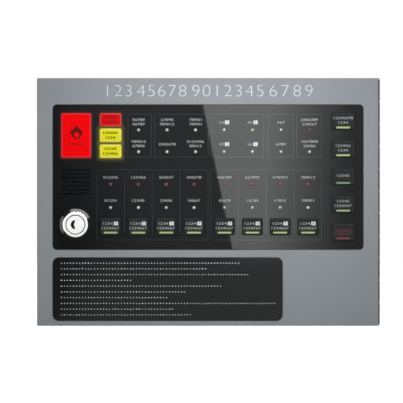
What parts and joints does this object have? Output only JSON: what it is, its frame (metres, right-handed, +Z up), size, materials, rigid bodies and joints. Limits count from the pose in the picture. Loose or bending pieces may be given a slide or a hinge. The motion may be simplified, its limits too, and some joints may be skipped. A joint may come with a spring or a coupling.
{
  "type": "fire alarm control panel",
  "caption": "Wall-mounted fire alarm control panel: hinged steel box with a glossy keypad fascia, alarm lamps, key lock, buzzer, boards and standby batteries.",
  "frame": {"origin": "middle of the back face that lies on the wall", "axes": "+X to the viewer's right, +Z up, +Y into the wall, so the front faces -Y"},
  "size_m": [0.36, 0.101, 0.26],
  "materials": {
    "enclosure_paint": "fine satin powder coat, mid grey",
    "hinge_steel": "satin rolled steel",
    "bright_steel": "bright turned steel",
    "zinc_steel": "zinc plated sheet",
    "circuit_board": "green solder resist",
    "terminal_plastic": "moulded green",
    "dark_plastic": "moulded black",
    "brass_stud": "plain turned brass",
    "battery_case": "moulded dark grey ABS",
    "gloss_black_fascia": "polished black",
    "label_black": "satin printed film",
    "lamp_red": "lit red lens",
    "lamp_yellow": "lit yellow lens",
    "lock_chrome": "dark polished chrome with a bright ring",
    "key_black": "fine matt moulding",
    "bar_green": "yellow-green light bar",
    "bar_red": "red light bar"
  },
  "bodies": {
    "enclosure": {"back_box": "enclosure_paint", "hinge_leaf_box": "hinge_steel", "hinge_pin": "bright_steel", "lock_striker": "zinc_steel", "main_board": "circuit_board", "zone_terminals": "terminal_plastic", "output_terminals": "terminal_plastic", "power_supply": "zinc_steel", "power_supply_terminals": "dark_plastic", "mains_terminal_block": "dark_plastic", "earth_stud": "brass_stud", "battery_left": "battery_case", "battery_right": "battery_case", "battery_bracket": "zinc_steel"},
    "door": {"door_panel": "enclosure_paint", "hinge_leaf_door": "hinge_steel", "fascia": "gloss_black_fascia", "label_plate": "label_black", "fire_lamp_lens": "lamp_red", "alarm_lamp_lens": "lamp_red", "fault_lamp_lens": "lamp_yellow", "disabled_lamp_lens": "lamp_yellow", "display_board": "circuit_board", "buzzer": "dark_plastic", "lock_housing": "lock_chrome", "lock_nut": "bright_steel"},
    "lock_rotor": {"lock_plug": "bright_steel", "lock_cam": "zinc_steel", "lock_cam_screw": "bright_steel"},
    "zone_1_button": {"zone_1_key": "key_black", "zone_1_light_bar": "bar_green"},
    "zone_2_button": {"zone_2_key": "key_black", "zone_2_light_bar": "bar_green"},
    "zone_3_button": {"zone_3_key": "key_black", "zone_3_light_bar": "bar_green"},
    "zone_4_button": {"zone_4_key": "key_black", "zone_4_light_bar": "bar_green"},
    "zone_5_button": {"zone_5_key": "key_black", "zone_5_light_bar": "bar_green"},
    "zone_6_button": {"zone_6_key": "key_black", "zone_6_light_bar": "bar_green"},
    "zone_7_button": {"zone_7_key": "key_black", "zone_7_light_bar": "bar_green"},
    "zone_8_button": {"zone_8_key": "key_black", "zone_8_light_bar": "bar_green"},
    "silence_sounders_button": {"silence_sounders_key": "key_black", "silence_sounders_light_bar": "bar_green"},
    "mute_buzzer_button": {"mute_buzzer_key": "key_black", "mute_buzzer_light_bar": "bar_green"},
    "reset_button": {"reset_key": "key_black", "reset_light_bar": "bar_green"},
    "access_button": {"access_key": "key_black", "access_light_bar": "bar_green"},
    "evacuate_button": {"evacuate_key": "key_black", "evacuate_light_bar": "bar_red"}
  },
  "joints": [
    {"name": "door_hinge", "type": "hinge", "parent": "enclosure", "child": "door", "pos_m": [0.1777, -0.0797, 0], "axis": [0, 0, 1], "range_deg": [0, 120]},
    {"name": "lock_turn", "type": "hinge", "parent": "door", "child": "lock_rotor", "pos_m": [-0.13965, -0.101, -0.0238], "axis": [0, 1, 0], "range_deg": [0, 90]},
    {"name": "zone_1_press", "type": "slide", "parent": "door", "child": "zone_1_button", "axis": [0, 1, 0], "range_m": [0, 0.0008], "stiffness_N_per_m": 1500},
    {"name": "zone_2_press", "type": "slide", "parent": "door", "child": "zone_2_button", "axis": [0, 1, 0], "range_m": [0, 0.0008], "stiffness_N_per_m": 1500},
    {"name": "zone_3_press", "type": "slide", "parent": "door", "child": "zone_3_button", "axis": [0, 1, 0], "range_m": [0, 0.0008], "stiffness_N_per_m": 1500},
    {"name": "zone_4_press", "type": "slide", "parent": "door", "child": "zone_4_button", "axis": [0, 1, 0], "range_m": [0, 0.0008], "stiffness_N_per_m": 1500},
    {"name": "zone_5_press", "type": "slide", "parent": "door", "child": "zone_5_button", "axis": [0, 1, 0], "range_m": [0, 0.0008], "stiffness_N_per_m": 1500},
    {"name": "zone_6_press", "type": "slide", "parent": "door", "child": "zone_6_button", "axis": [0, 1, 0], "range_m": [0, 0.0008], "stiffness_N_per_m": 1500},
    {"name": "zone_7_press", "type": "slide", "parent": "door", "child": "zone_7_button", "axis": [0, 1, 0], "range_m": [0, 0.0008], "stiffness_N_per_m": 1500},
    {"name": "zone_8_press", "type": "slide", "parent": "door", "child": "zone_8_button", "axis": [0, 1, 0], "range_m": [0, 0.0008], "stiffness_N_per_m": 1500},
    {"name": "silence_sounders_press", "type": "slide", "parent": "door", "child": "silence_sounders_button", "axis": [0, 1, 0], "range_m": [0, 0.0008], "stiffness_N_per_m": 1500},
    {"name": "mute_buzzer_press", "type": "slide", "parent": "door", "child": "mute_buzzer_button", "axis": [0, 1, 0], "range_m": [0, 0.0008], "stiffness_N_per_m": 1500},
    {"name": "reset_press", "type": "slide", "parent": "door", "child": "reset_button", "axis": [0, 1, 0], "range_m": [0, 0.0008], "stiffness_N_per_m": 1500},
    {"name": "access_press", "type": "slide", "parent": "door", "child": "access_button", "axis": [0, 1, 0], "range_m": [0, 0.0008], "stiffness_N_per_m": 1500},
    {"name": "evacuate_press", "type": "slide", "parent": "door", "child": "evacuate_button", "axis": [0, 1, 0], "range_m": [0, 0.0008], "stiffness_N_per_m": 1500}
  ]
}
